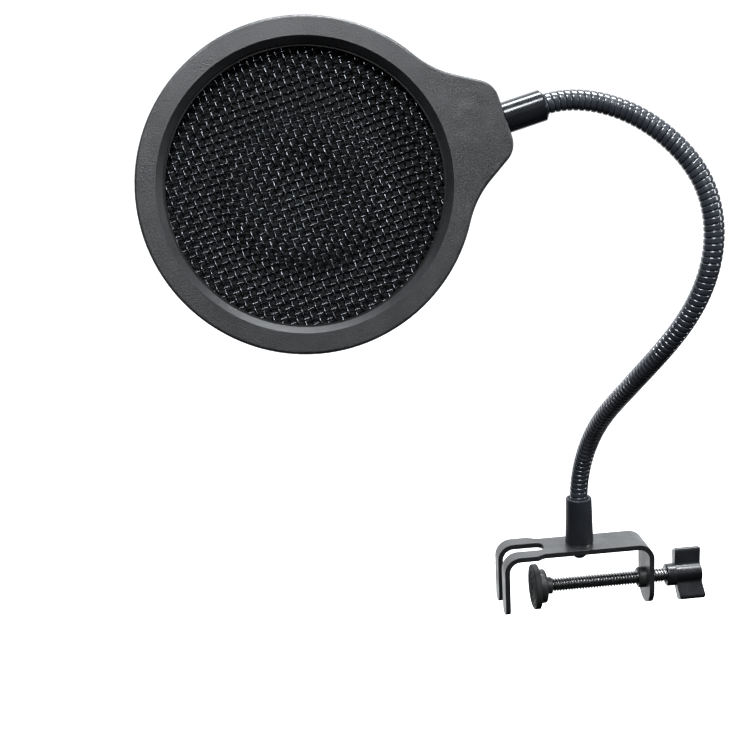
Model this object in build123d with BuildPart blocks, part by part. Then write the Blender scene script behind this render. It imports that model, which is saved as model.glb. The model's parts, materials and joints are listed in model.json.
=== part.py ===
from build123d import *

import os
from math import cos, radians, sin, tan

# A pop filter: a round layered screen on a flexible gooseneck arm, with a screw clamp at the foot.
#
# Millimetres, +Z up. The origin is on the clamp screw's axis, between the two prongs of the fixed
# jaw and level with their gripping faces. +X runs along the screw to the knob. The screen faces -Y.

# --- Clamp bracket: one bent steel strip ---
STRIP_THICKNESS = 2.2
STRIP_WIDTH = 18.6
BRACKET_LENGTH = 66.7  # over the outer faces of the jaw and the ear
BRIDGE_TOP = 18.8  # above the screw axis
BEND_RADIUS = 7.0  # outside of both bends
FORK_WIDTH = 23.0  # the strip flares to this at the jaw
FORK_LENGTH = 12.4  # from the gripping face to the start of the taper
FORK_TAPER = 3.5
SLOT_WIDTH = 8.4
SLOT_END = 17.2  # from the gripping face
SLOT_CORNER = 3.0
JAW_BOTTOM = -8.0
EAR_BOTTOM = -11.0
EAR_CORNER = 9.0

# --- Clamp screw, quarter inch with 20 threads to the inch ---
SCREW_RADIUS = 3.175
SCREW_CLEARANCE = 0.05
GRIP_GAP = 12.0  # between the jaw and the rubber pad as assembled
RUBBER_RADIUS = 10.0
RUBBER_THICKNESS = 2.6
CUP_RADIUS = 7.5
CUP_THICKNESS = 3.3
COLLAR_RADIUS = 3.75
COLLAR_LENGTH = 2.8
COLLAR_EDGE = 0.4
RUBBER_EDGE = 0.5
CUP_EDGE = 1.0
BALL_RADIUS = 2.8
BALL_CLEARANCE = 0.06
BALL_RECESS = 0.4  # from the cup's back face to the ball's centre
NECK_RADIUS = 2.0
NECK_BARE = 0.5  # between the collar and the thread
THREAD_CHAMFER = 0.5
BUSH_RADIUS = 4.6
BUSH_LENGTH = 3.2  # of the collar on the ear's inner face
BUSH_BODY_RADIUS = 3.9
BUSH_CHAMFER = 0.6
KNOB_STANDOFF = 7.4  # bare thread between the ear and the knob
HUB_RADIUS = 5.0
HUB_LENGTH = 4.3
HUB_CHAMFER = 0.6
KNOB_TURN = -23.0  # about +X from upright, so that the upper wing leans back
WING_SPAN = 22.9
WING_LENGTH = 11.6
WING_SWEEP = 0.8  # how far the tips lean away from the clamp
WING_THIN = 3.8  # thickness at the bottom of the finger scoops
WING_THICK = 5.2  # thickness of the ridges at the tips
WING_SCOOP = 3.2  # from the axis to the bottom of the scoops
WING_RIDGE = 1.9  # width of the ridges
WING_CORNER = 1.2
WING_EDGE = 1.4
WING_CORE_RADIUS = 4.0
WING_BLEND = 1.5
KNOB_CAP = 3.0  # plastic beyond the screw's end

# --- Foot of the arm ---
ARM_X = 33.3  # the swivel axis, along the bridge
RIVET_RADIUS = 2.0
RIVET_HEAD_RADIUS = 3.5
RIVET_HEAD_HEIGHT = 4.7
RIVET_HEAD_EDGE = 3.2  # rounds it to a dome
RIVET_GRIP = 5.0  # how far the shank reaches into the ferrule
PIVOT_CLEARANCE = 0.06
WASHER_THICKNESS = 0.5
WASHER_RADIUS = 5.7
FOOT_FERRULE_HEIGHT = 20.5
FOOT_FERRULE_BASE_RADIUS = 6.15
FOOT_FERRULE_TOP_RADIUS = 5.6
FOOT_FERRULE_EDGE = 0.3
FERRULE_LIP_DEPTH = 1.4
FERRULE_LIP_WIDTH = 0.5

# --- Gooseneck ---
ARM_RADIUS = 4.0
ARM_GRIP = 13.0  # length of hose inside each ferrule
HINGE_COUNT = 12
HINGE_BALL_RADIUS = 3.9
HINGE_CUP_RADIUS = 4.35

# --- Screen head ---
HEAD_CENTRE = (-81.4, -58.8, 192.8)  # centre of the rim's front face
HEAD_YAW = -3.4  # the face turns this much towards +X
HEAD_TILT = 15.5  # the face looks up this much
HEAD_ROLL = 15.6  # the tab points up this much in the plane of the rim
RIM_RADIUS = 62.5
RIM_DEPTH = 12.0
RIM_WALL = 2.0
RIM_EDGE = 1.0
OPENING_RADIUS = 52.4
BEVEL_WIDTH = 2.4
BEVEL_DEPTH = 3.0
SKIRT_RADIUS = 54.6
SKIRT_DEPTH = 3.6
TAB_END = 78.1
TAB_HALF_WIDTH = 12.9
TAB_FLANK_ANGLE = 31.3
TAB_FLANK_REACH = 33.0  # how far the flanks run back inside the round
TAB_CORNER = 9.0
TAB_BLEND = 37.0
SPIGOT_RADIUS = 3.2
SPIGOT_FLANGE_RADIUS = 3.9
SPIGOT_FLANGE = 2.0
SADDLE_START = 65.5
SADDLE_HALF_WIDTH = 7.0
TAB_SCREW_X = 66.0
TAB_SCREW_Y = 14.0
BOSS_RADIUS = 2.9
TAB_SCREW_RADIUS = 1.1
TAB_SCREW_CLEARANCE = 0.1
TAB_SCREW_HEAD_RADIUS = 2.3
TAB_SCREW_HEAD_HEIGHT = 1.3
TAB_SCREW_SINK = 0.1
TAB_SCREW_TIP = 2.5  # from the front face to the screw's end
HEAD_FERRULE_LENGTH = 16.0
HEAD_FERRULE_RADIUS = 6.0
HEAD_FERRULE_CHAMFER = 0.8

# --- Layers in the head, as radii and depths behind the front face ---
LAYER_RADIUS = 60.2
HOOP_INNER_RADIUS = 51.6
HOOP_THICKNESS = 1.2
HOOP_WALL = 1.4
SCREEN_RADIUS = 58.4
SCREEN_THICKNESS = 0.3
SCREEN_EDGE_DEPTH = 5.0
SCREEN_RIDGE = (22.0, 4.6)
SCREEN_GROOVE = (36.0, 6.6)
SCREEN_CENTRE_DEPTH = 6.8
FOAM_DEPTH = 7.4
FOAM_THICKNESS = 2.3
FABRIC_THICKNESS = 0.25

os.makedirs("parts", exist_ok=True)


def finish(piece, label):
    """Label a finished piece and write its STEP file."""
    piece.part.label = label
    export_step(piece.part, f"parts/{label}.step")


# --- Places worked out from the dimensions ---
jaw_outside = -STRIP_THICKNESS
ear_outside = jaw_outside + BRACKET_LENGTH
ear_inside = ear_outside - STRIP_THICKNESS
bridge_bottom = BRIDGE_TOP - STRIP_THICKNESS

cup_front = GRIP_GAP + RUBBER_THICKNESS
cup_back = cup_front + CUP_THICKNESS
collar_end = cup_back + COLLAR_LENGTH
ball_x = cup_back - BALL_RECESS
hub_start = ear_outside + KNOB_STANDOFF
wing_start = hub_start + HUB_LENGTH
wing_end = wing_start + WING_LENGTH
# the middle plane of the wings, through the screw's axis
wings = Plane.XZ.rotated((KNOB_TURN, 0, 0))

ferrule_base = BRIDGE_TOP + WASHER_THICKNESS + PIVOT_CLEARANCE
arm_start = Vector(ARM_X, 0, ferrule_base + FOOT_FERRULE_HEIGHT)
swivel_axis = Axis((ARM_X, 0, 0), (0, 0, 1))

level = Vector(cos(radians(HEAD_YAW)), sin(radians(HEAD_YAW)), 0)
facing = Vector(
    sin(radians(HEAD_YAW)) * cos(radians(HEAD_TILT)),
    -cos(radians(HEAD_YAW)) * cos(radians(HEAD_TILT)),
    sin(radians(HEAD_TILT)),
)
upward = facing.cross(level)
tab_direction = level * cos(radians(HEAD_ROLL)) + upward * sin(radians(HEAD_ROLL))
# the head's own plane: x along the tab, z out of the front face
head = Plane(HEAD_CENTRE, x_dir=tab_direction, z_dir=facing)
head_axis = Axis(head.origin, head.z_dir)
# a section through the tab: x is the radius, y is the depth behind the front face
section = Plane(head.origin, x_dir=head.x_dir, z_dir=head.y_dir)
mid_depth = RIM_DEPTH / 2
tab_axis = Axis(section.from_local_coords((0, mid_depth)), head.x_dir)
ferrule_end = TAB_END + HEAD_FERRULE_LENGTH
arm_end = section.from_local_coords((ferrule_end, mid_depth))

# the arm's centre line from the foot ferrule to the head ferrule, as it is bent at rest
ARM_ROUTE = [
    (35.4, -6.1, 62.8),
    (39.1, -21.2, 82.1),
    (44.7, -38.9, 98.8),
    (51.2, -56.0, 115.4),
    (60.0, -69.2, 134.4),
    (67.0, -75.4, 157.6),
    (66.2, -72.0, 182.2),
    (54.2, -63.0, 201.8),
    (33.9, -54.3, 214.3),
]
with BuildLine() as route:
    ends = [Vector(0, 0, 1), -head.x_dir]
    Spline(arm_start, *ARM_ROUTE, arm_end, tangents=ends, tangent_scalars=[1, 1])
arm = route.edge()
hinge_stations = [(k + 0.5) / HINGE_COUNT for k in range(HINGE_COUNT)]


def behind_face(depth):
    """A plane parallel to the rim's front face, that much behind it."""
    return head.offset(-depth)


# =====================================================================================
# Clamp
# =====================================================================================

with BuildPart() as clamp_bracket:
    # side profile of the bent strip, as wide as the fork
    with BuildSketch(Plane.XZ) as side_profile:
        with BuildLine():
            outer = [
                (jaw_outside, JAW_BOTTOM),
                (jaw_outside, BRIDGE_TOP),
                (ear_outside, BRIDGE_TOP),
                (ear_outside, EAR_BOTTOM),
            ]
            inner = [
                (ear_inside, EAR_BOTTOM),
                (ear_inside, bridge_bottom),
                (0, bridge_bottom),
                (0, JAW_BOTTOM),
            ]
            Polyline(*outer, *inner, close=True)
        make_face()
        fillet(side_profile.vertices().group_by(Axis.Y)[-1], BEND_RADIUS)
        # the inside corners are now the next row down
        fillet(side_profile.vertices().group_by(Axis.Y)[-2], BEND_RADIUS - STRIP_THICKNESS)
    extrude(amount=FORK_WIDTH / 2, both=True)
    # plan outline: the fork tapers in to the plain strip
    with BuildSketch(Plane.XY.offset(EAR_BOTTOM)):
        with BuildLine():
            flare = [
                (jaw_outside, FORK_WIDTH / 2),
                (FORK_LENGTH, FORK_WIDTH / 2),
                (FORK_LENGTH + FORK_TAPER, STRIP_WIDTH / 2),
                (ear_outside, STRIP_WIDTH / 2),
            ]
            Polyline(*flare, *[(x, -y) for x, y in reversed(flare)], close=True)
        make_face()
    extrude(amount=BRIDGE_TOP - EAR_BOTTOM, mode=Mode.INTERSECT)
    # the fork's slot, open at the bottom of the jaw
    slot_length = SLOT_END - 2 * jaw_outside
    with BuildSketch(Plane.XY.offset(EAR_BOTTOM)) as slot:
        with Locations((SLOT_END - slot_length / 2, 0)):
            Rectangle(slot_length, SLOT_WIDTH)
        fillet(slot.vertices().group_by(Axis.X)[-1], SLOT_CORNER)
    extrude(amount=BRIDGE_TOP - EAR_BOTTOM, mode=Mode.SUBTRACT)
    # rounded ends: the prongs' are the second lowest faces, above the ear's
    prong_ends = clamp_bracket.faces().filter_by(Axis.Z).group_by(Axis.Z)[1]
    fillet(prong_ends.edges().filter_by(Axis.X), SLOT_CORNER)
    fillet(clamp_bracket.edges().filter_by(Axis.X).group_by(Axis.Z)[0], EAR_CORNER)
    # holes for the bush and the swivel rivet
    with BuildSketch(Plane.YZ.offset(ear_inside)):
        Circle(BUSH_BODY_RADIUS)
    extrude(amount=STRIP_THICKNESS, mode=Mode.SUBTRACT)
    with BuildSketch(Plane.XY.offset(bridge_bottom)):
        with Locations((ARM_X, 0)):
            Circle(RIVET_RADIUS + PIVOT_CLEARANCE)
    extrude(amount=STRIP_THICKNESS, mode=Mode.SUBTRACT)
finish(clamp_bracket, "clamp_bracket")

with BuildPart() as threaded_bush:
    with BuildSketch(Plane.YZ.offset(ear_inside - BUSH_LENGTH)):
        Circle(BUSH_RADIUS)
    extrude(amount=BUSH_LENGTH)
    with BuildSketch(Plane.YZ.offset(ear_inside)):
        Circle(BUSH_BODY_RADIUS)
    extrude(amount=STRIP_THICKNESS)
    with BuildSketch(Plane.YZ.offset(ear_inside - BUSH_LENGTH)):
        Circle(SCREW_RADIUS + SCREW_CLEARANCE)
    extrude(amount=BUSH_LENGTH + STRIP_THICKNESS, mode=Mode.SUBTRACT)
    mouth = threaded_bush.edges().filter_by(GeomType.CIRCLE).group_by(Axis.X)[0]
    chamfer(mouth.sort_by(SortBy.RADIUS)[-1], BUSH_CHAMFER)
finish(threaded_bush, "threaded_bush")

with BuildPart() as rubber_pad:
    with BuildSketch(Plane.YZ.offset(GRIP_GAP)):
        Circle(RUBBER_RADIUS)
    extrude(amount=RUBBER_THICKNESS)
    fillet(rubber_pad.edges().filter_by(GeomType.CIRCLE), RUBBER_EDGE)
finish(rubber_pad, "rubber_pad")

with BuildPart() as pressure_cup:
    with BuildSketch(Plane.YZ.offset(cup_front)):
        Circle(CUP_RADIUS)
    extrude(amount=CUP_THICKNESS)
    fillet(pressure_cup.edges().filter_by(GeomType.CIRCLE).group_by(Axis.X)[-1], CUP_EDGE)
    with BuildSketch(Plane.YZ.offset(cup_back)):
        Circle(COLLAR_RADIUS)
    extrude(amount=COLLAR_LENGTH)
    chamfer(pressure_cup.edges().filter_by(GeomType.CIRCLE).group_by(Axis.X)[-1], COLLAR_EDGE)
    # the socket that holds the screw's ball end, with a narrower neck
    with Locations((ball_x, 0, 0)):
        Sphere(BALL_RADIUS + BALL_CLEARANCE, mode=Mode.SUBTRACT)
    with BuildSketch(Plane.YZ.offset(ball_x)):
        Circle(NECK_RADIUS + BALL_CLEARANCE)
    extrude(amount=collar_end - ball_x, mode=Mode.SUBTRACT)
finish(pressure_cup, "pressure_cup")

with BuildPart() as thumb_screw:
    shoulder = collar_end + NECK_BARE
    with BuildSketch(Plane.YZ.offset(shoulder)):
        Circle(SCREW_RADIUS)
    extrude(amount=wing_end - KNOB_CAP - shoulder)
    chamfer(thumb_screw.edges().filter_by(GeomType.CIRCLE), THREAD_CHAMFER)
    with BuildSketch(Plane.YZ.offset(ball_x)):
        Circle(NECK_RADIUS)
    extrude(amount=shoulder - ball_x)
    with Locations((ball_x, 0, 0)):
        Sphere(BALL_RADIUS)
finish(thumb_screw, "thumb_screw")

with BuildPart() as wing_knob:
    # cross-section: two wings with scooped faces, blended in to a round core
    with BuildSketch(Plane((wing_start, 0, 0), x_dir=wings.y_dir, z_dir=(1, 0, 0))) as wing_section:
        with BuildLine():
            wing = [
                (WING_SCOOP, WING_THIN / 2),
                (WING_SPAN / 2 - WING_RIDGE, WING_THICK / 2),
                (WING_SPAN / 2, WING_THICK / 2),
            ]
            wing += [(x, -y) for x, y in reversed(wing)]
            Polyline(*wing, *[(-x, -y) for x, y in wing], close=True)
        make_face()
        Circle(WING_CORE_RADIUS)
        fillet(wing_section.vertices().group_by(SortBy.DISTANCE)[0], WING_BLEND)
        fillet(wing_section.vertices().group_by(SortBy.DISTANCE)[-1], WING_EDGE)
    extrude(amount=WING_LENGTH + WING_SWEEP)
    # broadside outline: the tips lean away from the clamp
    with BuildSketch(wings.offset(-WING_SPAN / 2)) as broadside:
        with BuildLine():
            upper = [
                (wing_start, HUB_RADIUS),
                (wing_start + WING_SWEEP, WING_SPAN / 2),
                (wing_end + WING_SWEEP, WING_SPAN / 2),
                (wing_end, HUB_RADIUS),
            ]
            Polyline(*upper, *[(x, -y) for x, y in reversed(upper)], close=True)
        make_face()
        tips = broadside.vertices().group_by(Axis.Y)
        fillet(tips[0] + tips[-1], WING_CORNER)
    extrude(amount=WING_SPAN, mode=Mode.INTERSECT)
    with BuildSketch(Plane.YZ.offset(hub_start)):
        Circle(HUB_RADIUS)
    extrude(amount=HUB_LENGTH)
    chamfer(wing_knob.edges().filter_by(GeomType.CIRCLE).group_by(Axis.X)[0], HUB_CHAMFER)
    # the screw's end is moulded in
    with BuildSketch(Plane.YZ.offset(hub_start)):
        Circle(SCREW_RADIUS)
    extrude(amount=wing_end - KNOB_CAP - hub_start, mode=Mode.SUBTRACT)
finish(wing_knob, "wing_knob")

# =====================================================================================
# Foot of the arm
# =====================================================================================

with BuildPart() as friction_washer:
    with BuildSketch(Plane.XY.offset(BRIDGE_TOP)):
        with Locations((ARM_X, 0)):
            Circle(WASHER_RADIUS)
            Circle(RIVET_RADIUS + PIVOT_CLEARANCE, mode=Mode.SUBTRACT)
    extrude(amount=WASHER_THICKNESS)
finish(friction_washer, "friction_washer")

with BuildPart() as swivel_rivet:
    rivet_top = bridge_bottom - PIVOT_CLEARANCE
    with BuildSketch(Plane.XY.offset(rivet_top - RIVET_HEAD_HEIGHT)):
        with Locations((ARM_X, 0)):
            Circle(RIVET_HEAD_RADIUS)
    extrude(amount=RIVET_HEAD_HEIGHT)
    fillet(swivel_rivet.edges().group_by(Axis.Z)[0], RIVET_HEAD_EDGE)
    with BuildSketch(Plane.XY.offset(rivet_top)):
        with Locations((ARM_X, 0)):
            Circle(RIVET_RADIUS)
    extrude(amount=ferrule_base + RIVET_GRIP - rivet_top)
finish(swivel_rivet, "swivel_rivet")

with BuildPart() as foot_ferrule:
    ferrule_top = ferrule_base + FOOT_FERRULE_HEIGHT
    with BuildSketch(Plane.XZ):
        with BuildLine():
            Polyline(
                (ARM_X + RIVET_RADIUS, ferrule_base),
                (ARM_X + FOOT_FERRULE_BASE_RADIUS, ferrule_base),
                (ARM_X + FOOT_FERRULE_TOP_RADIUS, ferrule_top),
                (ARM_X + ARM_RADIUS + FERRULE_LIP_WIDTH, ferrule_top),
                (ARM_X + ARM_RADIUS, ferrule_top - FERRULE_LIP_DEPTH),
                (ARM_X + ARM_RADIUS, ferrule_top - ARM_GRIP),
                (ARM_X + RIVET_RADIUS, ferrule_top - ARM_GRIP),
                close=True,
            )
        make_face()
    revolve(axis=swivel_axis)
    rims = foot_ferrule.edges().filter_by(GeomType.CIRCLE)
    chamfer(rims.group_by(Axis.Z)[-1].sort_by(SortBy.RADIUS)[-1], FOOT_FERRULE_EDGE)
    fillet(rims.group_by(Axis.Z)[0].sort_by(SortBy.RADIUS)[-1], FOOT_FERRULE_EDGE)
finish(foot_ferrule, "foot_ferrule")

# =====================================================================================
# Gooseneck: the coil is divided into short links that meet in ball joints
# =====================================================================================


def hose_along(arc):
    """A solid length of hose along an arc."""
    with BuildSketch(Plane(arc @ 0, z_dir=arc % 0)) as bar:
        Circle(ARM_RADIUS)
    sweep(bar.sketch, path=arc)


def hinge_ball(station):
    with Locations(arm @ station):
        Sphere(HINGE_BALL_RADIUS)


def hinge_cup(station):
    with Locations(arm @ station):
        Sphere(HINGE_CUP_RADIUS, mode=Mode.SUBTRACT)


with BuildPart() as gooseneck_root:
    with BuildSketch(Plane.XY.offset(arm_start.Z - ARM_GRIP)):
        with Locations((ARM_X, 0)):
            Circle(ARM_RADIUS)
    extrude(amount=ARM_GRIP)
    with BuildLine() as first_bend:
        TangentArc(arm @ 0, arm @ hinge_stations[0], tangent=arm % 0)
    hose_along(first_bend.edge())
    hinge_cup(hinge_stations[0])
finish(gooseneck_root, "gooseneck_root")

for number, (low, high) in enumerate(zip(hinge_stations, hinge_stations[1:]), start=1):
    with BuildPart() as gooseneck_link:
        with BuildLine() as bend:
            ThreePointArc(arm @ low, arm @ ((low + high) / 2), arm @ high)
        hose_along(bend.edge())
        hinge_ball(low)
        hinge_cup(high)
    finish(gooseneck_link, f"gooseneck_link_{number:02d}")

with BuildPart() as gooseneck_tip:
    with BuildLine() as last_bend:
        TangentArc(arm @ 1, arm @ hinge_stations[-1], tangent=-(arm % 1))
    hose_along(last_bend.edge())
    hinge_ball(hinge_stations[-1])
    with BuildSketch(Plane(arm_end, z_dir=-head.x_dir)):
        Circle(ARM_RADIUS)
    extrude(amount=ARM_GRIP)
finish(gooseneck_tip, "gooseneck_tip")

# =====================================================================================
# Screen head
# =====================================================================================

# the rim's outline with its tapered tab, shared by both halves
with BuildSketch() as outline:
    Circle(RIM_RADIUS)
    flank_start = TAB_END - TAB_FLANK_REACH
    flank_half = TAB_HALF_WIDTH + TAB_FLANK_REACH * tan(radians(TAB_FLANK_ANGLE))
    with BuildLine():
        Polyline(
            (flank_start, flank_half),
            (TAB_END, TAB_HALF_WIDTH),
            (TAB_END, -TAB_HALF_WIDTH),
            (flank_start, -flank_half),
            close=True,
        )
    make_face()
    fillet(outline.vertices().group_by(Axis.X)[-1], TAB_CORNER)
    fillet(outline.vertices().group_by(Axis.X)[0], TAB_BLEND)

with BuildSketch() as cavity:
    offset(outline.sketch, amount=-RIM_WALL)

tab_screw_places = [(TAB_SCREW_X, TAB_SCREW_Y), (TAB_SCREW_X, -TAB_SCREW_Y)]
saddle_length = TAB_END - RIM_WALL / 2 - SADDLE_START


def saddle(depth):
    """A solid block in the tab for the ferrule's spigot, from a depth to the parting plane."""
    with BuildSketch(behind_face(mid_depth)) as blocks:
        with Locations((SADDLE_START + saddle_length / 2, 0)):
            Rectangle(saddle_length, 2 * SADDLE_HALF_WIDTH)
        with Locations(*tab_screw_places):
            Circle(BOSS_RADIUS)
    extrude(blocks.sketch, amount=mid_depth - depth)


def spigot_bore():
    """Cut the spigot's hole along the tab."""
    with BuildSketch(Plane(tab_axis.position, x_dir=head.y_dir, z_dir=head.x_dir)) as bore:
        Circle(SPIGOT_RADIUS)
    extrude(bore.sketch, amount=TAB_END + 1, mode=Mode.SUBTRACT)


with BuildPart() as front_rim:
    with BuildSketch(behind_face(mid_depth)):
        add(outline.sketch)
    extrude(amount=mid_depth)
    fillet(front_rim.faces().sort_by(head_axis)[-1].outer_wire().edges(), RIM_EDGE)
    # the moulding is hollow behind its face
    with BuildSketch(behind_face(mid_depth)):
        add(cavity.sketch)
        Circle(SKIRT_RADIUS, mode=Mode.SUBTRACT)
    extrude(amount=mid_depth - RIM_WALL, mode=Mode.SUBTRACT)
    with BuildSketch(behind_face(mid_depth)):
        Circle(SKIRT_RADIUS)
    extrude(amount=mid_depth - SKIRT_DEPTH, mode=Mode.SUBTRACT)
    saddle(RIM_WALL)
    # the round opening, with a bevel that leads in to the screen
    with BuildSketch(section):
        with BuildLine():
            Polyline(
                (0, -1),
                (OPENING_RADIUS + BEVEL_WIDTH + BEVEL_WIDTH / BEVEL_DEPTH, -1),
                (OPENING_RADIUS, BEVEL_DEPTH),
                (OPENING_RADIUS, mid_depth + 1),
                (0, mid_depth + 1),
                close=True,
            )
        make_face()
    revolve(axis=head_axis, mode=Mode.SUBTRACT)
    spigot_bore()
    # blind holes that the tab screws cut their threads in
    with BuildSketch(behind_face(mid_depth)):
        with Locations(*tab_screw_places):
            Circle(TAB_SCREW_RADIUS)
    extrude(amount=mid_depth - RIM_WALL, mode=Mode.SUBTRACT)
finish(front_rim, "front_rim")

with BuildPart() as rear_rim:
    with BuildSketch(behind_face(RIM_DEPTH)):
        add(outline.sketch)
    extrude(amount=mid_depth)
    fillet(rear_rim.faces().sort_by(head_axis)[0].outer_wire().edges(), RIM_EDGE)
    with BuildSketch(behind_face(RIM_DEPTH - RIM_WALL)):
        add(cavity.sketch)
    extrude(amount=mid_depth - RIM_WALL, mode=Mode.SUBTRACT)
    saddle(RIM_DEPTH - RIM_WALL)
    with BuildSketch(section):
        with BuildLine():
            Polyline(
                (0, mid_depth - 1),
                (OPENING_RADIUS, mid_depth - 1),
                (OPENING_RADIUS, RIM_DEPTH - RIM_EDGE),
                (OPENING_RADIUS + 2 * RIM_EDGE, RIM_DEPTH + RIM_EDGE),
                (0, RIM_DEPTH + RIM_EDGE),
                close=True,
            )
        make_face()
    revolve(axis=head_axis, mode=Mode.SUBTRACT)
    spigot_bore()
    # counterbored holes for the tab screws
    with Locations(head.location * Pos(0, 0, -RIM_DEPTH) * Rot(180, 0, 0)):
        with Locations(*tab_screw_places):
            CounterBoreHole(
                radius=TAB_SCREW_RADIUS + TAB_SCREW_CLEARANCE,
                counter_bore_radius=TAB_SCREW_HEAD_RADIUS + 2 * TAB_SCREW_CLEARANCE,
                counter_bore_depth=TAB_SCREW_HEAD_HEIGHT,
            )
finish(rear_rim, "rear_rim")


def ring_section(profile):
    """A solid of revolution about the head's axis, from its points as radius and depth."""
    with BuildSketch(section) as ring:
        with BuildLine():
            Polyline(*profile, close=True)
        make_face()
    revolve(ring.sketch, axis=head_axis)


hoop_front = SKIRT_DEPTH
hoop_back = hoop_front + HOOP_THICKNESS
with BuildPart() as screen_hoop:
    ring_section(
        [
            (HOOP_INNER_RADIUS, hoop_front),
            (LAYER_RADIUS, hoop_front),
            (LAYER_RADIUS, FOAM_DEPTH),
            (LAYER_RADIUS - HOOP_WALL, FOAM_DEPTH),
            (LAYER_RADIUS - HOOP_WALL, hoop_back),
            (HOOP_INNER_RADIUS, hoop_back),
        ]
    )
finish(screen_hoop, "screen_hoop")

with BuildPart() as front_screen:
    # a shallow ripple: low in the middle, a ridge, a groove, then up to the flat edge
    ripple = [
        (0, SCREEN_CENTRE_DEPTH),
        SCREEN_RIDGE,
        SCREEN_GROOVE,
        (HOOP_INNER_RADIUS, SCREEN_EDGE_DEPTH),
    ]
    back = [(r, d + SCREEN_THICKNESS) for r, d in ripple]
    with BuildSketch(section):
        with BuildLine():
            Spline(*ripple, tangents=[(1, 0), (1, 0)])
            Polyline(
                ripple[-1],
                (SCREEN_RADIUS, SCREEN_EDGE_DEPTH),
                (SCREEN_RADIUS, SCREEN_EDGE_DEPTH + SCREEN_THICKNESS),
                back[-1],
            )
            Spline(*reversed(back), tangents=[(-1, 0), (-1, 0)])
            Line(back[0], ripple[0])
        make_face()
    revolve(axis=head_axis)
finish(front_screen, "front_screen")

with BuildPart() as foam_disc:
    with BuildSketch(behind_face(FOAM_DEPTH + FOAM_THICKNESS)):
        Circle(LAYER_RADIUS)
    extrude(amount=FOAM_THICKNESS)
finish(foam_disc, "foam_disc")

with BuildPart() as fabric_layer:
    with BuildSketch(behind_face(FOAM_DEPTH + FOAM_THICKNESS + FABRIC_THICKNESS)):
        Circle(LAYER_RADIUS)
    extrude(amount=FABRIC_THICKNESS)
finish(fabric_layer, "fabric_layer")

with BuildPart() as head_ferrule:
    # a sleeve outside the tab, and a spigot with a wide end that the saddles trap
    with BuildSketch(section):
        with BuildLine():
            Polyline(
                (SADDLE_START - SPIGOT_FLANGE, mid_depth),
                (SADDLE_START - SPIGOT_FLANGE, mid_depth - SPIGOT_FLANGE_RADIUS),
                (SADDLE_START, mid_depth - SPIGOT_FLANGE_RADIUS),
                (SADDLE_START, mid_depth - SPIGOT_RADIUS),
                (TAB_END, mid_depth - SPIGOT_RADIUS),
                (TAB_END, mid_depth - HEAD_FERRULE_RADIUS),
                (ferrule_end, mid_depth - HEAD_FERRULE_RADIUS),
                (ferrule_end, mid_depth - ARM_RADIUS - FERRULE_LIP_WIDTH),
                (ferrule_end - FERRULE_LIP_DEPTH, mid_depth - ARM_RADIUS),
                (ferrule_end - ARM_GRIP, mid_depth - ARM_RADIUS),
                (ferrule_end - ARM_GRIP, mid_depth),
                close=True,
            )
        make_face()
    revolve(axis=tab_axis)
    tube_end = head_ferrule.edges().filter_by(GeomType.CIRCLE).group_by(tab_axis)[-1]
    chamfer(tube_end.sort_by(SortBy.RADIUS)[-1], HEAD_FERRULE_CHAMFER)
finish(head_ferrule, "head_ferrule")

with BuildPart() as tab_screws:
    with BuildSketch(behind_face(RIM_DEPTH - TAB_SCREW_SINK)):
        with Locations(*tab_screw_places):
            Circle(TAB_SCREW_HEAD_RADIUS)
    extrude(amount=TAB_SCREW_HEAD_HEIGHT - TAB_SCREW_SINK)
    with BuildSketch(behind_face(RIM_DEPTH - TAB_SCREW_HEAD_HEIGHT)):
        with Locations(*tab_screw_places):
            Circle(TAB_SCREW_RADIUS)
    extrude(amount=RIM_DEPTH - TAB_SCREW_HEAD_HEIGHT - TAB_SCREW_TIP)
finish(tab_screws, "tab_screws")

print(f"exposed gooseneck {arm.length:.1f} mm")
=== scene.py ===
"""Looks for a pop filter: a layered round screen on a gooseneck arm with a screw clamp.

Metres, in the frame's own axes: the clamp screw runs along +X, +Z is up and the screen faces -Y.
"""

import json
import math

import bpy
import numpy as np
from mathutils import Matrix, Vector


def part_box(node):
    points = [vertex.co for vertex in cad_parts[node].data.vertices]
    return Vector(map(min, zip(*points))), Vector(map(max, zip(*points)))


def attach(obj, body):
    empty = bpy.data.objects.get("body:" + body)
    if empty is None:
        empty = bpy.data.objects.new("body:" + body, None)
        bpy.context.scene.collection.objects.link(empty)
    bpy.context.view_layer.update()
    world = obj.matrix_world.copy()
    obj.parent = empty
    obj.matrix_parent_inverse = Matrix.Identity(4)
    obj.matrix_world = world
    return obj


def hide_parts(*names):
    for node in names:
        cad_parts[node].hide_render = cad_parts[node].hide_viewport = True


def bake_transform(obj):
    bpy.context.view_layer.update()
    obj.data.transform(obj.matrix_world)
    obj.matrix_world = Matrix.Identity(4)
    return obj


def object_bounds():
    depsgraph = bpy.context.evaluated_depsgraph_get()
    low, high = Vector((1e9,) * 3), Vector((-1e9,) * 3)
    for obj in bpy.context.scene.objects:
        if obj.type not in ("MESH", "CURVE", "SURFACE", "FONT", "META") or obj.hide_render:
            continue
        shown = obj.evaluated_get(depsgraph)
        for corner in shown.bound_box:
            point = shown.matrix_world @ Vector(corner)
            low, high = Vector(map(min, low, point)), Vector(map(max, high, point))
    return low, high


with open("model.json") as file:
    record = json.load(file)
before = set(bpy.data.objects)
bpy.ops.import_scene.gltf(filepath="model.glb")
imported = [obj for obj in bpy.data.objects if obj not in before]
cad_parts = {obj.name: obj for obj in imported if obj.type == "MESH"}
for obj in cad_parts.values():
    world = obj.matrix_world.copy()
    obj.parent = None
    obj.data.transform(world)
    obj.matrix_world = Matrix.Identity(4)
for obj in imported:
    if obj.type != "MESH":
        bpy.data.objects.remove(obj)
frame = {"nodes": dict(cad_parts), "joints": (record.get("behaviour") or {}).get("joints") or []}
cad_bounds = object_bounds()

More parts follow.
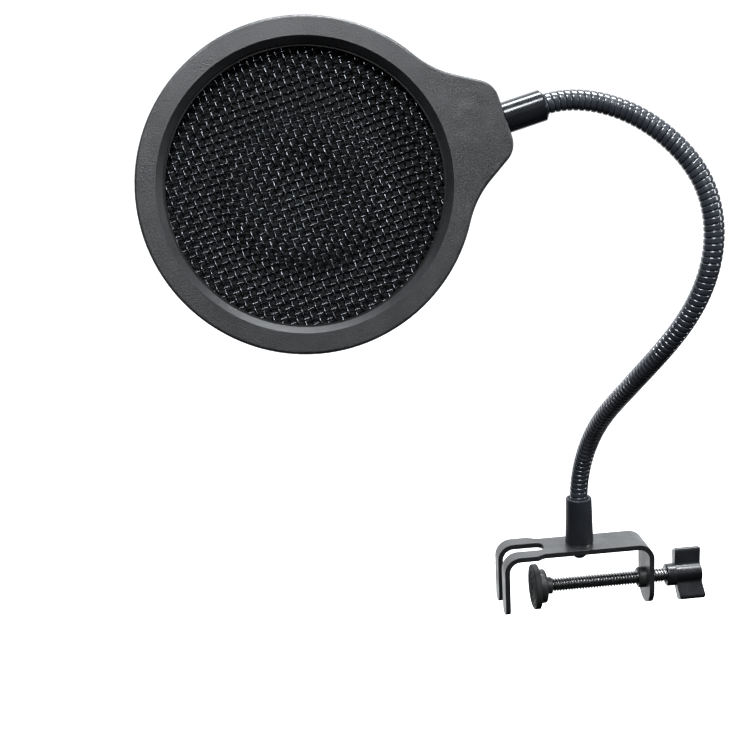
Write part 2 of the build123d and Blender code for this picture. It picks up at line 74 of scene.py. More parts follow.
MM = 0.001

# =====================================================================================
# Sizes
# =====================================================================================

# the camera of the main view, with its angles in degrees and its lens in millimetres
CAMERA_PLACE = Vector((-0.1205, -0.6427, 0.2800))
CAMERA_PITCH = 74.58
CAMERA_ROLL = 2.70
CAMERA_TURN = -6.74
CAMERA_LENS = 76.8
CAMERA_SENSOR = 36.0

# the head: how its face is turned, in degrees, and the depths of its layers behind the face
HEAD_YAW = -3.4
HEAD_TILT = 15.5
HEAD_ROLL = 15.6
FOAM_FRONT = 7.4 * MM
FOAM_BACK = 9.7 * MM
LAYER_RADIUS = 60.2 * MM
LAYER_RINGS = 60
LAYER_SEGMENTS = 180
FOAM_LUMP = 0.06 * MM
FOAM_BEHIND_WIRE = 1.6  # from the wire screen's middle surface, in wire radii
FABRIC_SAG = 0.05 * MM
KNIT_SPACING = 1.728 * MM
# sink marks in the tab: places along and across it, where each fades from and to, and its depth
SINK_MARKS = [(65.4 * MM, 4.5 * MM), (64.1 * MM, -3.6 * MM)]
SINK_CORE = 1.5 * MM
SINK_REACH = 6.5 * MM
SINK_DEPTH = 0.16 * MM

# the woven wire screen
WIRE_RADIUS = 0.32 * MM
WIRE_LIFT = 0.42 * MM  # each side of the middle surface, at a crossing
WIRE_SPACING_ALONG = 2.71 * MM
WIRE_SPACING_ACROSS = 2.92 * MM
WIRE_SIDES = 7
WIRE_STEPS = 8  # points between two crossings
SCREEN_RADIUS = 58.2 * MM
SCREEN_STEP_BACK = 0.45 * MM
# radius and depth where the pressed ripple turns, in millimetres
RIPPLE = [(0.0, 6.8), (22.0, 4.6), (36.0, 6.6), (51.6, 5.0), (60.0, 5.0)]

# the gooseneck: a round coil with a filler wire between its turns
HOSE_RADIUS = 3.98 * MM
HOSE_PITCH = 2.4 * MM
HOSE_GROOVE = 0.65 * MM
HOSE_BAND_FLATNESS = 7
HOSE_IN_FERRULE = 3.0 * MM
HOSE_TAIL_POINTS = 60  # along each end of the hose, inside its ferrule
HOSE_END_ALONG = 94.1 * MM  # where the hose meets the head ferrule, along the tab
HOSE_END_DEPTH = 6.0 * MM  # and how deep behind the face
HOSE_BEND_REACH = 8.0 * MM  # each side of a hinge

# the clamp screw, quarter inch with 20 threads to the inch
THREAD_RADIUS = 3.17 * MM
THREAD_DEPTH = 0.68 * MM
THREAD_PITCH = 1.27 * MM
CREST_SHARE = 0.125  # of the pitch
FLANK_SHARE = 0.3125
SHOULDER_GAP = 0.5 * MM
NECK_RADIUS = 2.0 * MM
BALL_RADIUS = 2.8 * MM
BALL_TURN = 134  # degrees round the ball from its tip to the neck

# the rubber pad, with its round ribs in millimetres from the middle
PAD_RADIUS = 10.0 * MM
PAD_ROUND = 0.5 * MM
PAD_RIB = 0.35 * MM
RIB_COUNT = 3
RIB_START = 1.5
RIB_SPACING = 2.6
RIB_WIDTHS = [0, 0.35, 1.25, 1.6]  # foot, crest, crest and foot of each rib

# the floor and the light
FLOOR_DROP = 0.22
FLOOR_REACH = 60.0
PAPER_GLOW = 0.62
DAYLIGHT = (0.94, 0.97, 1.0)
DOME_HIGH = 0.32
DOME_LOW = 0.02
WALL = 1.8  # the white wall behind the object, as the object's surfaces see it
BACKDROP = 1.0


# =====================================================================================
# Mesh helpers
# =====================================================================================


def make_piece(name, points, faces, crease=35.0):
    """A mesh object, shaded smooth, with edges sharper than the crease kept sharp."""
    mesh = bpy.data.meshes.new(name)
    mesh.from_pydata([tuple(p) for p in points], [], faces)
    mesh.update()
    mesh.shade_smooth()
    mesh.set_sharp_from_angle(angle=math.radians(crease))
    piece = bpy.data.objects.new(name, mesh)
    bpy.context.scene.collection.objects.link(piece)
    return piece


def revolved(profile, origin, axis, side, segments=96):
    """Points and faces of a profile of (radius, distance along) turned about an axis.

    A profile that starts or ends on the axis is closed there.
    """
    origin, axis = np.array(origin, float), np.array(axis, float)
    side = np.array(side, float)
    across = np.cross(axis, side)
    points, rings = [], []
    for radius, along in profile:
        centre = origin + axis * along
        if radius < 1e-9:
            rings.append([len(points)] * segments)
            points.append(centre)
            continue
        rings.append(list(range(len(points), len(points) + segments)))
        for k in range(segments):
            a = 2 * math.pi * k / segments
            points.append(centre + radius * (math.cos(a) * side + math.sin(a) * across))
    faces = []
    for low, high in zip(rings, rings[1:]):
        for k in range(segments):
            n = (k + 1) % segments
            corners = [low[k], low[n], high[n], high[k]]
            faces.append(list(dict.fromkeys(corners)))
    return points, faces


def join_parts(*parts):
    """Several (points, faces) as one."""
    points, faces = [], []
    for more_points, more_faces in parts:
        start = len(points)
        points += list(more_points)
        faces += [[start + i for i in face] for face in more_faces]
    return points, faces


def helical_tube(place, start, end, pitch, profile, around=48, steps=16):
    """Points and faces of a tube whose radius follows a helix, closed at both ends.

    place(s) gives centre and two cross directions at the distances s along it, and profile(v)
    the radius at the share v of a turn. The mesh runs along the helix, so its grooves are clean.
    """
    rows = int(math.ceil((end - start) / pitch * steps)) + 2 * steps + 1
    i, j = np.meshgrid(np.arange(rows), np.arange(around), indexing="ij")
    free = start + (i / steps + j / around - 1) * pitch
    s = np.clip(free, start, end)
    radius = profile((s / pitch - j / around) % 1.0)
    centre, u, v = place(s.ravel())
    angle = (2 * math.pi * j / around).ravel()[:, None]
    points = centre + radius.ravel()[:, None] * (np.cos(angle) * u + np.sin(angle) * v)
    # every point held back at an end stands for one point of that end's ring
    index = np.arange(rows * around).reshape(rows, around)
    last = (rows - 1) * around
    index = np.where(free < start, index[0][None, :], index)
    index = np.where(free > end, last + np.arange(around)[None, :], index)
    faces = []
    for a in range(rows - 1):
        for b in range(around):
            if b + 1 < around:
                ring = [index[a, b], index[a, b + 1], index[a + 1, b + 1], index[a + 1, b]]
            elif a + 1 + steps < rows:
                ring = [index[a, b], index[a + steps, 0], index[a + 1 + steps, 0], index[a + 1, b]]
            else:
                continue
            ring = list(dict.fromkeys(int(n) for n in ring))
            if len(ring) > 2:
                faces.append(ring)
    faces.append([int(n) for n in index[0][::-1]])
    faces.append([int(n) for n in last + np.arange(around)])
    used = sorted({n for face in faces for n in face})
    new = {n: k for k, n in enumerate(used)}
    return points[used], [[new[n] for n in face] for face in faces]


# =====================================================================================
# Materials
# =====================================================================================


class Finish:
    """A Principled material with its colour, roughness and relief from procedural nodes."""

    def __init__(self, name, metallic=0.0, specular=0.5, coat=0.0, coat_roughness=0.1):
        self.material = bpy.data.materials.new(name)
        self.material.use_nodes = True
        self.tree = self.material.node_tree
        self.shader = self.tree.nodes["Principled BSDF"]
        self.shader.inputs["Metallic"].default_value = metallic
        self.shader.inputs["Specular IOR Level"].default_value = specular
        self.shader.inputs["Coat Weight"].default_value = coat
        self.shader.inputs["Coat Roughness"].default_value = coat_roughness
        self.place = self.node("ShaderNodeTexCoord").outputs["Object"]
        self.relief = None

    def node(self, kind, **settings):
        made = self.tree.nodes.new(kind)
        for key, value in settings.items():
            setattr(made, key, value)
        return made

    def link(self, source, target):
        self.tree.links.new(source, target)

    def noise(self, size, detail=3.0, roughness=0.5, place=None):
        """Noise whose lumps are about that size, from 0 to 1."""
        made = self.node("ShaderNodeTexNoise")
        made.inputs["Scale"].default_value = 1.0 / size
        made.inputs["Detail"].default_value = detail
        made.inputs["Roughness"].default_value = roughness
        self.link(place or self.place, made.inputs["Vector"])
        return made.outputs["Fac"]

    def cells(self, size, feature="F1"):
        made = self.node("ShaderNodeTexVoronoi", feature=feature)
        made.inputs["Scale"].default_value = 1.0 / size
        self.link(self.place, made.inputs["Vector"])
        return made.outputs["Distance"]

    def ranged(self, value, low, high, start=0.3, stop=0.7):
        """The value's stretch from start to stop, as low to high."""
        made = self.node("ShaderNodeMapRange", interpolation_type="SMOOTHSTEP")
        made.inputs["From Min"].default_value = start
        made.inputs["From Max"].default_value = stop
        made.inputs["To Min"].default_value = low
        made.inputs["To Max"].default_value = high
        self.link(value, made.inputs["Value"])
        return made.outputs["Result"]

    def math(self, operation, a, b):
        made = self.node("ShaderNodeMath", operation=operation)
        for socket, value in zip(made.inputs, (a, b)):
            if isinstance(value, (int, float)):
                socket.default_value = value
            else:
                self.link(value, socket)
        return made.outputs["Value"]

    def mixed(self, factor, first, second):
        made = self.node("ShaderNodeMix", data_type="RGBA")
        self.link(factor, made.inputs["Factor"])
        for name, value in (("A", first), ("B", second)):
            socket = [s for s in made.inputs if s.name == name and s.type == "RGBA"][0]
            if isinstance(value, tuple):
                socket.default_value = (*value, 1.0)
            else:
                self.link(value, socket)
        return [s for s in made.outputs if s.type == "RGBA"][0]

    def colour(self, value):
        self.link(value, self.shader.inputs["Base Color"])

    def roughness(self, value):
        self.link(value, self.shader.inputs["Roughness"])

    def bump(self, height, distance, strength=1.0):
        made = self.node("ShaderNodeBump")
        made.inputs["Strength"].default_value = strength
        made.inputs["Distance"].default_value = distance
        self.link(height, made.inputs["Height"])
        if self.relief is not None:
            self.link(self.relief, made.inputs["Normal"])
        self.relief = made.outputs["Normal"]
        self.link(self.relief, self.shader.inputs["Normal"])


def grained(name, dark, light, rough, grain, depth, patch=18 * MM, speck=0.0, edge=0.0, **shader):
    """A surface with cloudy colour, uneven gloss and a fine grain of that size and depth.

    speck is how much the gloss changes from grain to grain, and edge rounds the sharp edges.
    """
    made = Finish(name, **shader)
    if edge:
        rounded = made.node("ShaderNodeBevel", samples=6)
        rounded.inputs["Radius"].default_value = edge
        made.relief = rounded.outputs["Normal"]
    cloud = made.ranged(made.noise(patch, 2.0), 0.0, 1.0)
    fleck = made.ranged(made.noise(grain, 2.0), 0.0, 1.0)
    share = made.math("ADD", made.math("MULTIPLY", cloud, 0.55), made.math("MULTIPLY", fleck, 0.45))
    made.colour(made.mixed(share, dark, light))
    wide = made.ranged(made.noise(patch * 0.4, 4.0), rough[0], rough[1])
    sparkle = made.math("MULTIPLY", made.math("SUBTRACT", fleck, 0.5), speck)
    made.roughness(made.math("ADD", wide, sparkle))
    made.bump(made.noise(grain, 2.0, 0.6), depth)
    return made


def grey(value, blue=1.0):
    """A neutral colour with its blue raised or lowered."""
    return (value, value * (1 + 0.3 * (blue - 1)), value * blue)


finishes = {}

finishes["rim_plastic"] = grained(
    "rim_plastic", grey(0.006, 1.1), grey(0.020, 1.1), (0.37, 0.43), 0.45 * MM, 0.10 * MM, speck=0.2,
    specular=0.6,
)
finishes["hoop_plastic"] = grained(
    "hoop_plastic", grey(0.004), grey(0.008), (0.60, 0.75), 0.4 * MM, 0.03 * MM, specular=0.2
)
finishes["screen_wire"] = grained(
    "screen_wire", grey(0.05, 1.15), grey(0.09, 1.15), (0.15, 0.22), 0.25 * MM, 0.002 * MM, patch=6 * MM,
    metallic=1.0,
)
finishes["head_sleeve"] = grained(
    "head_sleeve", grey(0.006, 1.3), grey(0.012, 1.3), (0.14, 0.20), 0.6 * MM, 0.002 * MM, patch=9 * MM,
    specular=0.35,
)
finishes["gooseneck"] = grained(
    "gooseneck", grey(0.020, 1.4), grey(0.036, 1.4), (0.16, 0.23), 0.3 * MM, 0.003 * MM, patch=7 * MM,
    specular=0.9,
)
finishes["foot_sleeve"] = grained(
    "foot_sleeve", grey(0.007, 1.5), grey(0.014, 1.5), (0.42, 0.55), 0.35 * MM, 0.03 * MM, specular=0.4
)
finishes["washer_steel"] = grained(
    "washer_steel", grey(0.30), grey(0.42), (0.32, 0.45), 0.3 * MM, 0.01 * MM, metallic=1.0
)
finishes["painted_steel"] = grained(
    "painted_steel", grey(0.008, 1.1), grey(0.018, 1.1), (0.34, 0.46), 0.7 * MM, 0.05 * MM,
    speck=0.1, edge=0.35 * MM, specular=0.6,
)
finishes["bush_steel"] = grained(
    "bush_steel", grey(0.014), grey(0.026), (0.35, 0.48), 0.4 * MM, 0.02 * MM, metallic=0.3
)
finishes["screw_steel"] = grained(
    "screw_steel", grey(0.20), grey(0.30), (0.24, 0.32), 0.25 * MM, 0.001 * MM, patch=3 * MM,
    metallic=1.0,
)
finishes["cup_steel"] = grained(
    "cup_steel", grey(0.010), grey(0.020), (0.35, 0.48), 0.4 * MM, 0.02 * MM
)
finishes["knob_plastic"] = grained(
    "knob_plastic", grey(0.004, 1.3), grey(0.008, 1.3), (0.26, 0.34), 0.5 * MM, 0.03 * MM, speck=0.08,
    edge=0.4 * MM,
)
finishes["pad_rubber"] = grained(
    "pad_rubber", grey(0.008), grey(0.016), (0.62, 0.78), 0.3 * MM, 0.05 * MM, specular=0.35
)

foam = Finish("foam", specular=0.2)
pores = foam.cells(0.7 * MM)
foam.colour(foam.mixed(foam.ranged(pores, 0.0, 1.0, 0.15, 0.6), grey(0.003), grey(0.013, 1.1)))
foam.roughness(foam.ranged(foam.noise(2 * MM), 0.85, 1.0))
foam.bump(pores, 0.5 * MM)
finishes["foam"] = foam


def put_on(piece, slot):
    """Give a piece the finish of a material slot."""
    piece.data.materials.clear()
    piece.data.materials.append(finishes[slot].material)


# =====================================================================================
# The head's own axes
# =====================================================================================

yaw, tilt, roll = (math.radians(a) for a in (HEAD_YAW, HEAD_TILT, HEAD_ROLL))
level = Vector((math.cos(yaw), math.sin(yaw), 0))
facing = Vector((math.sin(yaw) * math.cos(tilt), -math.cos(yaw) * math.cos(tilt), math.sin(tilt)))
upward = facing.cross(level)
along_tab = level * math.cos(roll) + upward * math.sin(roll)
across_tab = facing.cross(along_tab)
foam_low, foam_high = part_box("foam_disc")
head_centre = (foam_low + foam_high) / 2 + facing * (FOAM_FRONT + FOAM_BACK) / 2


def head_point(x, y, depth):
    """Points of the head, from distances along and across the tab and depths behind its face."""
    x, y, depth = (np.asarray(value, float)[..., None] for value in (x, y, depth))
    on_face = np.array(head_centre) + x * np.array(along_tab) + y * np.array(across_tab)
    return on_face - depth * np.array(facing)


# faint sink marks in the tab's face, over the blocks that hold the ferrule's spigot
rim = finishes["rim_plastic"]
for mark_x, mark_y in SINK_MARKS:
    away = rim.node("ShaderNodeVectorMath", operation="DISTANCE")
    rim.link(rim.place, away.inputs[0])
    away.inputs[1].default_value = head_point(mark_x, mark_y, 0).ravel()
    near = rim.ranged(away.outputs["Value"], 1.0, 0.0, SINK_CORE, SINK_REACH)
    rim.bump(rim.math("MULTIPLY", near, rim.noise(5 * MM, 1.0)), SINK_DEPTH)

# the knit of the fabric layer lies square to the tab
WAVE_RADIANS = 20.0  # how far the wave texture turns in a unit, at a scale of 1
fabric = Finish("fabric", specular=0.25)
turn = fabric.node("ShaderNodeMapping", vector_type="TEXTURE")
turn.inputs["Rotation"].default_value = (math.radians(90 - HEAD_TILT), -roll, yaw)
fabric.link(fabric.place, turn.inputs["Vector"])
threads = []
for direction in ("X", "Y"):
    wave = fabric.node("ShaderNodeTexWave", bands_direction=direction, wave_profile="SIN")
    wave.inputs["Scale"].default_value = 2 * math.pi / WAVE_RADIANS / KNIT_SPACING
    wave.inputs["Distortion"].default_value = 0.0
    fabric.link(turn.outputs["Vector"], wave.inputs["Vector"])
    threads.append(wave.outputs["Fac"])
knit = fabric.math("MULTIPLY", threads[0], threads[1])
worn = fabric.ranged(fabric.noise(14 * MM), 0.0, 0.35)
fabric.colour(fabric.mixed(fabric.math("ADD", knit, worn), grey(0.006), grey(0.032, 1.05)))
fabric.roughness(fabric.ranged(fabric.noise(1.5 * MM), 0.75, 0.95))
fabric.bump(knit, 0.25 * MM)
finishes["fabric"] = fabric

# =====================================================================================
# The carried-over parts of the frame
# =====================================================================================

NODE_SLOTS = {
    "rim_plastic": ["front_rim", "rear_rim"],
    "hoop_plastic": ["screen_hoop"],
    "screen_wire": ["front_screen"],
    "foam": ["foam_disc"],
    "fabric": ["fabric_layer"],
    "head_sleeve": ["head_ferrule"],
    "foot_sleeve": ["foot_ferrule"],
    "washer_steel": ["friction_washer"],
    "painted_steel": ["clamp_bracket", "swivel_rivet"],
    "bush_steel": ["threaded_bush"],
    "screw_steel": ["thumb_screw", "tab_screws"],
    "cup_steel": ["pressure_cup"],
    "knob_plastic": ["wing_knob"],
    "pad_rubber": ["rubber_pad"],
}
NODE_SLOTS["gooseneck"] = [name for name in frame["nodes"] if name.startswith("gooseneck")]
for slot_name, node_names in NODE_SLOTS.items():
    for node_name in node_names:
        put_on(frame["nodes"][node_name], slot_name)

# =====================================================================================
# Woven wire screen
# =====================================================================================


def ripple_depth(radius):
    """The depth of the pressed ripple at a radius, both in metres."""
    depth = np.full(np.shape(radius), RIPPLE[-1][1] * MM)
    for (r0, d0), (r1, d1) in zip(RIPPLE, RIPPLE[1:]):
        share = np.clip((radius / MM - r0) / (r1 - r0), 0, 1)
        here = (radius / MM >= r0) & (radius / MM < r1)
        depth = np.where(here, (d0 + (d1 - d0) * (1 - np.cos(math.pi * share)) / 2) * MM, depth)
    return depth + SCREEN_STEP_BACK


def uneven(x, y):
    """The small drift of the weave out of square, the same for both sets of wires."""
    dx = 0.16 * np.sin(x / (9 * MM) + 1.3) * np.cos(y / (13 * MM)) + 0.12 * np.sin(y / (5.5 * MM) + 0.4)
    dy = 0.14 * np.cos(x / (12 * MM) + 0.2) * np.sin(y / (8 * MM)) + 0.12 * np.sin(x / (6.5 * MM) + 2.0)
    return x + dx * MM, y + dy * MM


def wire(number, spacing, crossing, runs_along):
    """One wire of the weave as points and faces: a tube that goes over and under in turn."""
    offset = number * spacing
    half = math.sqrt(max(SCREEN_RADIUS**2 - offset**2, 0))
    count = int(2 * half / crossing * WIRE_STEPS)
    if count < WIRE_STEPS:
        return [], []
    run = np.linspace(-half, half, count)
    lift = WIRE_LIFT * np.cos(math.pi * run / crossing) * (-1 if number % 2 else 1)
    x, y = (run, np.full(count, offset)) if runs_along else (np.full(count, offset), run)
    if not runs_along:
        lift = -lift
    x, y = uneven(x, y)
    line = head_point(x, y, ripple_depth(np.hypot(x, y)) - lift)
    tangent = np.gradient(line, axis=0)
    tangent /= np.linalg.norm(tangent, axis=1)[:, None]
    side = np.cross(tangent, np.array(facing))
    side /= np.linalg.norm(side, axis=1)[:, None]
    out = np.cross(side, tangent)
    angle = 2 * math.pi * np.arange(WIRE_SIDES) / WIRE_SIDES
    ring = np.cos(angle)[None, :, None] * out[:, None, :] + np.sin(angle)[None, :, None] * side[:, None, :]
    points = (line[:, None, :] + WIRE_RADIUS * ring).reshape(-1, 3)
    faces = []
    for k in range(count - 1):
        for m in range(WIRE_SIDES):
            n = (m + 1) % WIRE_SIDES
            a, b = k * WIRE_SIDES, (k + 1) * WIRE_SIDES
            faces.append([a + m, b + m, b + n, a + n])
    faces.append(list(range(WIRE_SIDES)))
    faces.append([(count - 1) * WIRE_SIDES + m for m in reversed(range(WIRE_SIDES))])
    return points, faces


# crossings of one set are at the other set's wires, where it is over or under by turns
wires = []
for spacing, crossing, runs_along in (
    (WIRE_SPACING_ACROSS, WIRE_SPACING_ALONG, True),
    (WIRE_SPACING_ALONG, WIRE_SPACING_ACROSS, False),
):
    most = int(SCREEN_RADIUS / spacing)
    wires += [wire(k, spacing, crossing, runs_along) for k in range(-most, most + 1)]
screen = make_piece("woven_screen", *join_parts(*wires), crease=80)
put_on(screen, "screen_wire")
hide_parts("front_screen")
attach(screen, "head")

# =====================================================================================
# Foam and fabric behind the wire
# =====================================================================================


def disc_surface(depth):
    """A layer's round surface, from its depth behind the face as a function of x and y."""
    points, faces = [head_point(0, 0, depth(0.0, 0.0)).ravel()], []
    angle = 2 * math.pi * np.arange(LAYER_SEGMENTS) / LAYER_SEGMENTS
    for k in range(1, LAYER_RINGS + 1):
        radius = LAYER_RADIUS * k / LAYER_RINGS
        x, y = radius * np.cos(angle), radius * np.sin(angle)
        points += list(head_point(x, y, depth(x, y)))
    for m in range(LAYER_SEGMENTS):
        n = (m + 1) % LAYER_SEGMENTS
        faces.append([0, 1 + m, 1 + n])
        for k in range(LAYER_RINGS - 1):
            a = 1 + k * LAYER_SEGMENTS
            b = a + LAYER_SEGMENTS
            faces.append([a + m, b + m, b + n, a + n])
    return points, faces


def foam_front(x, y):
    """The foam gives way a little where the wire screen dips in to it."""
    held_back = ripple_depth(np.hypot(x, y)) + FOAM_BEHIND_WIRE * WIRE_RADIUS
    dent = np.maximum(held_back - FOAM_FRONT, 0)
    lumps = FOAM_LUMP * np.sin(x / (1.1 * MM)) * np.sin(y / (1.3 * MM) + 0.7)
    return FOAM_FRONT + dent + lumps


def foam_back(x, y):
    """The foam's back is flat."""
    return np.full(np.shape(x), FOAM_BACK)


front = disc_surface(foam_front)
back_points, back_faces = disc_surface(foam_back)
foam_points, foam_faces = join_parts(front, (back_points, [face[::-1] for face in back_faces]))
# the outer edge joins the last ring of the front to that of the back
front_edge = len(back_points) - LAYER_SEGMENTS
back_edge = front_edge + len(back_points)
for m in range(LAYER_SEGMENTS):
    n = (m + 1) % LAYER_SEGMENTS
    foam_faces.append([front_edge + m, back_edge + m, back_edge + n, front_edge + n])
foam_piece = make_piece("foam_layer", foam_points, foam_faces)
put_on(foam_piece, "foam")
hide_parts("foam_disc")
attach(foam_piece, "head")


def fabric_depth(x, y):
    """Stretched nearly flat, with a trace of slack."""
    slack = np.sin(x / (11 * MM) + 0.6) * np.sin(y / (14 * MM) + 1.1)
    return FOAM_BACK + 2 * FABRIC_SAG + FABRIC_SAG * slack


fabric_piece = make_piece("fabric_sheet", *disc_surface(fabric_depth))
put_on(fabric_piece, "fabric")
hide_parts("fabric_layer")
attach(fabric_piece, "head")

# =====================================================================================
# Gooseneck: one ribbed hose in lengths, each spanning one hinge of the frame
# =====================================================================================

hinges = [j for j in frame["joints"] if j["name"].startswith(("bend_", "lean_"))]
hinges.sort(key=lambda j: int(j["name"].split("_")[1]))
pivots = [Vector(j["pos_m"]) for j in hinges]
foot_low, foot_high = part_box("foot_ferrule")
hose_start = Vector(((foot_low.x + foot_high.x) / 2, (foot_low.y + foot_high.y) / 2, foot_high.z))
hose_end = Vector(head_point(HOSE_END_ALONG, 0, HOSE_END_DEPTH))


def smooth_line(knots, first_direction, last_direction, samples=200):
    """A curve with even curvature through the knots, as finely spaced points.

    It is a cubic spline with its end directions given; the slopes solve a linear system.
    """
    knots = np.array(knots, float)
    count = len(knots)
    gap = np.linalg.norm(np.diff(knots, axis=0), axis=1)
    matrix, right = np.zeros((count, count)), np.zeros((count, 3))
    matrix[0, 0] = matrix[-1, -1] = 1
    right[0], right[-1] = first_direction, last_direction
    for k in range(1, count - 1):
        h, g = gap[k - 1], gap[k]
        matrix[k, k - 1 : k + 2] = [g, 2 * (h + g), h]
        right[k] = 3 * (g / h * (knots[k] - knots[k - 1]) + h / g * (knots[k + 1] - knots[k]))
    slope = np.linalg.solve(matrix, right)
    t = np.linspace(0, 1, samples, endpoint=False)[:, None]
    pieces = []
    for k in range(count - 1):
        p, q = knots[k], knots[k + 1]
        a, b = slope[k] * gap[k], slope[k + 1] * gap[k]
        pieces.append(
            p * (2 * t**3 - 3 * t**2 + 1) + q * (3 * t**2 - 2 * t**3)
            + a * (t**3 - 2 * t**2 + t) + b * (t**3 - t**2)
        )
    return np.vstack(pieces + [knots[-1:]])


into_foot = Vector((0, 0, 1))
into_head = -along_tab
bent = smooth_line([hose_start, *pivots, hose_end], into_foot, into_head)
tail_in = np.linspace(hose_start - into_foot * HOSE_IN_FERRULE, hose_start, HOSE_TAIL_POINTS, endpoint=False)
tail_out = np.linspace(hose_end, hose_end + into_head * HOSE_IN_FERRULE, HOSE_TAIL_POINTS)[1:]
hose_line = np.vstack([tail_in, bent, tail_out])
step = np.linalg.norm(np.diff(hose_line, axis=0), axis=1)
reach = np.concatenate([[0], np.cumsum(step)])
hose_tangent = np.gradient(hose_line, reach, axis=0)
hose_tangent /= np.linalg.norm(hose_tangent, axis=1)[:, None]

# a cross direction carried along the line without twisting
carried = [np.array((1.0, 0.0, 0.0))]
for tangent in hose_tangent[1:]:
    side = carried[-1] - (carried[-1] @ tangent) * tangent
    carried.append(side / np.linalg.norm(side))
carried = np.array(carried)


def hose_place(s):
    """Centre and two cross directions of the hose at the distances s."""
    centre = np.column_stack([np.interp(s, reach, hose_line[:, k]) for k in range(3)])
    along = np.column_stack([np.interp(s, reach, hose_tangent[:, k]) for k in range(3)])
    side = np.column_stack([np.interp(s, reach, carried[:, k]) for k in range(3)])
    along /= np.linalg.norm(along, axis=1)[:, None]
    side -= (side * along).sum(1)[:, None] * along
    side /= np.linalg.norm(side, axis=1)[:, None]
    return centre, side, np.cross(along, side)


def hose_radius(v):
    """A nearly flat band with round shoulders, then a narrow groove."""
    from_middle = np.abs(v - 0.5) * 2
    return HOSE_RADIUS - HOSE_GROOVE * from_middle**HOSE_BAND_FLATNESS


def distance_to(point):
    """How far along the hose its nearest point to a place is."""
    return reach[np.argmin(np.linalg.norm(hose_line - np.array(point), axis=1))]


pivot_at = [distance_to(p) for p in pivots]
cuts = [0.0, *[(a + b) / 2 for a, b in zip(pivot_at, pivot_at[1:])], reach[-1]]
links = sorted(n for n in frame["nodes"] if n.startswith("gooseneck_link"))
stood_for = [["gooseneck_root"], *[[n] for n in links]]
stood_for[-1].append("gooseneck_tip")
for number, (joint, at, low, high) in enumerate(zip(hinges, pivot_at, cuts, cuts[1:]), start=1):
    points, faces = helical_tube(hose_place, low, high, HOSE_PITCH, hose_radius)
    length = make_piece(f"hose_{number:02d}", points, faces, crease=60)
    put_on(length, "gooseneck")
    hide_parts(*stood_for[number - 1])
    ends, _, _ = hose_place(np.array([at - HOSE_BEND_REACH, at + HOSE_BEND_REACH]))
    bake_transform(length)

# =====================================================================================
# Clamp screw and rubber pad
# =====================================================================================

cup_low, cup_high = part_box("pressure_cup")
screw_low, screw_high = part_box("thumb_screw")
pad_low, pad_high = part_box("rubber_pad")
shoulder = cup_high.x + SHOULDER_GAP
ball_x = screw_low.x + BALL_RADIUS
X_AXIS, Y_AXIS = (1, 0, 0), (0, 1, 0)


def screw_place(s):
    """Centre and two cross directions of the screw at the distances s along +X."""
    ones = np.ones(len(s))[:, None]
    centre = np.column_stack([s, 0 * s, 0 * s])
    return centre, ones * np.array((0.0, 1.0, 0.0)), ones * np.array((0.0, 0.0, 1.0))


def thread_radius(v):
    """A 60 degree thread with a flat crest and a wider flat root."""
    flank = np.clip((np.abs(v - 0.5) - CREST_SHARE / 2) / FLANK_SHARE, 0, 1)
    return THREAD_RADIUS - THREAD_DEPTH * flank


thread = helical_tube(screw_place, shoulder, screw_high.x, THREAD_PITCH, thread_radius, around=40)
ball = [
    (BALL_RADIUS * math.sin(a), ball_x - BALL_RADIUS * math.cos(a))
    for a in np.linspace(0, math.radians(BALL_TURN), 20)
]
neck = [*ball, (NECK_RADIUS, ball[-1][1]), (NECK_RADIUS, shoulder), (0, shoulder)]
ball_and_neck = revolved(neck, (0, 0, 0), X_AXIS, Y_AXIS, segments=48)
screw = make_piece("screw", *join_parts(thread, ball_and_neck), crease=40)
put_on(screw, "screw_steel")
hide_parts("thumb_screw")
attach(screw, "screw")

# the pad's outline from the middle of its ribbed face, round its edge and back to the middle
grip, seat = pad_low.x, pad_high.x
pad_profile = [(0, grip + PAD_RIB)]
for k in range(RIB_COUNT):
    for width, depth in zip(RIB_WIDTHS, (PAD_RIB, 0, 0, PAD_RIB)):
        pad_profile.append(((RIB_START + RIB_SPACING * k + width) * MM, grip + depth))
corner = [math.radians(a) for a in (90, 70, 45, 20, 0)]
edge = PAD_RADIUS - PAD_ROUND
for a in corner:
    pad_profile.append((edge + PAD_ROUND * math.cos(a), grip + PAD_ROUND * (1 - math.sin(a))))
for a in reversed(corner):
    pad_profile.append((edge + PAD_ROUND * math.cos(a), seat - PAD_ROUND * (1 - math.sin(a))))
pad_profile.append((0, seat))
pad = make_piece("ribbed_pad", *revolved(pad_profile, (0, 0, 0), X_AXIS, Y_AXIS))
put_on(pad, "pad_rubber")
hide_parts("rubber_pad")
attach(pad, "pressure_pad")

# =====================================================================================
# Studio
# =====================================================================================

low, high = cad_bounds
centre = (low + high) / 2
floor_z = low.z - FLOOR_DROP
corners = [(-1, -1), (1, -1), (1, 1), (-1, 1)]
floor_points = [(x * FLOOR_REACH, y * FLOOR_REACH, floor_z) for x, y in corners]
floor = make_piece("floor", floor_points, [[0, 1, 2, 3]])
paper = grained("paper", (0.84, 0.84, 0.84), (0.88, 0.88, 0.88), (0.7, 0.9), 2 * MM, 0.01 * MM, patch=0.3)
paper.shader.inputs["Emission Color"].default_value = (1, 1, 1, 1)
paper.shader.inputs["Emission Strength"].default_value = PAPER_GLOW
floor.data.materials.append(paper.material)
# the floor is seen, but the underside of the object keeps its dark tone
floor.visible_diffuse = False
floor.visible_glossy = False


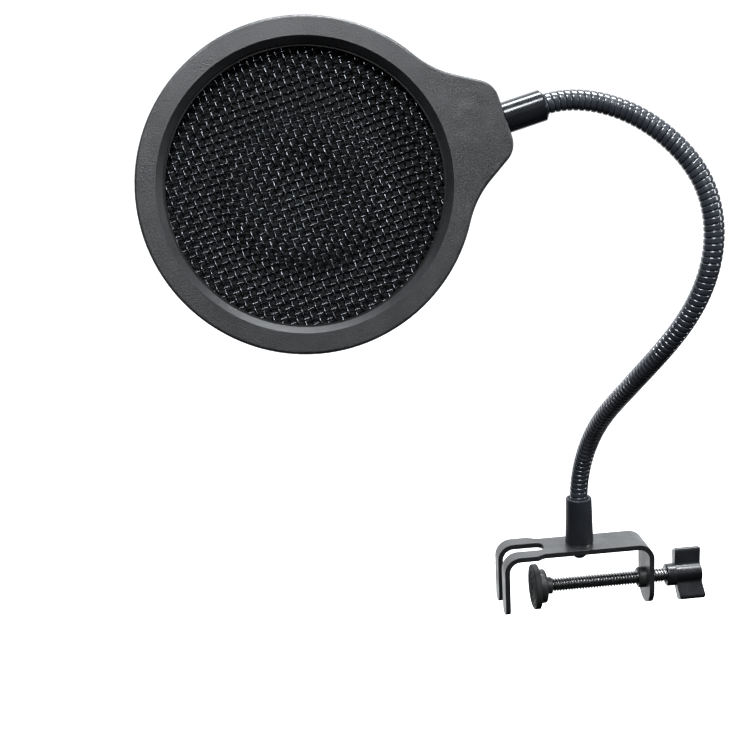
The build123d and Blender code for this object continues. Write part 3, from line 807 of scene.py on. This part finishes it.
def softbox(name, place, size, power):
    """A rectangular area light that points at the object."""
    lamp = bpy.data.lights.new(name, "AREA")
    lamp.shape = "RECTANGLE"
    lamp.size, lamp.size_y = size
    lamp.energy = power
    lamp.color = DAYLIGHT
    made = bpy.data.objects.new(name, lamp)
    made.location = place
    made.rotation_euler = (centre - Vector(place)).to_track_quat("-Z", "Y").to_euler()
    bpy.context.scene.collection.objects.link(made)


softbox("key", (-0.22, -0.70, 1.12), (0.45, 0.30), 21.5)
softbox("front", (-0.14, -1.25, 0.62), (1.1, 0.3), 0.4)
softbox("top", (0.1, 0.25, 1.60), (1.2, 0.35), 60)
softbox("side", (1.25, -0.5, 0.6), (0.15, 0.8), 9)

# a soft dome of light overhead and a wall of it behind, which fade out towards the rest, and
# a pale backdrop
world = bpy.data.worlds.new("studio")
world.use_nodes = True
tree = world.node_tree
tree.nodes.clear()
direction = tree.nodes.new("ShaderNodeTexCoord").outputs["Generated"]
split = tree.nodes.new("ShaderNodeSeparateXYZ")
tree.links.new(direction, split.inputs["Vector"])
glow = tree.nodes.new("ShaderNodeMath")
for socket, way, start, stop, dark, bright in (
    (glow.inputs[0], "Z", 0.15, 0.70, DOME_LOW, DOME_HIGH),
    (glow.inputs[1], "Y", 0.45, 0.85, 0.0, WALL),
):
    fade = tree.nodes.new("ShaderNodeMapRange")
    fade.interpolation_type = "SMOOTHSTEP"
    fade.inputs["From Min"].default_value = start
    fade.inputs["From Max"].default_value = stop
    fade.inputs["To Min"].default_value = dark
    fade.inputs["To Max"].default_value = bright
    tree.links.new(split.outputs[way], fade.inputs["Value"])
    tree.links.new(fade.outputs["Result"], socket)
dome = tree.nodes.new("ShaderNodeBackground")
tree.links.new(glow.outputs["Value"], dome.inputs["Strength"])
backdrop = tree.nodes.new("ShaderNodeBackground")
backdrop.inputs["Strength"].default_value = BACKDROP
dome.inputs["Color"].default_value = (*DAYLIGHT, 1)
backdrop.inputs["Color"].default_value = (1, 1, 1, 1)
chosen = tree.nodes.new("ShaderNodeMixShader")
tree.links.new(tree.nodes.new("ShaderNodeLightPath").outputs["Is Camera Ray"], chosen.inputs["Fac"])
tree.links.new(dome.outputs["Background"], chosen.inputs[1])
tree.links.new(backdrop.outputs["Background"], chosen.inputs[2])
tree.links.new(chosen.outputs["Shader"], tree.nodes.new("ShaderNodeOutputWorld").inputs["Surface"])
bpy.context.scene.world = world
bpy.context.scene.view_settings.view_transform = "Standard"

camera_data = bpy.data.cameras.new("camera")
camera_data.lens = CAMERA_LENS
camera_data.sensor_width = CAMERA_SENSOR
camera = bpy.data.objects.new("camera", camera_data)
camera.location = CAMERA_PLACE
camera.rotation_euler = [math.radians(a) for a in (CAMERA_PITCH, CAMERA_ROLL, CAMERA_TURN)]
bpy.context.scene.collection.objects.link(camera)
bpy.context.scene.camera = camera
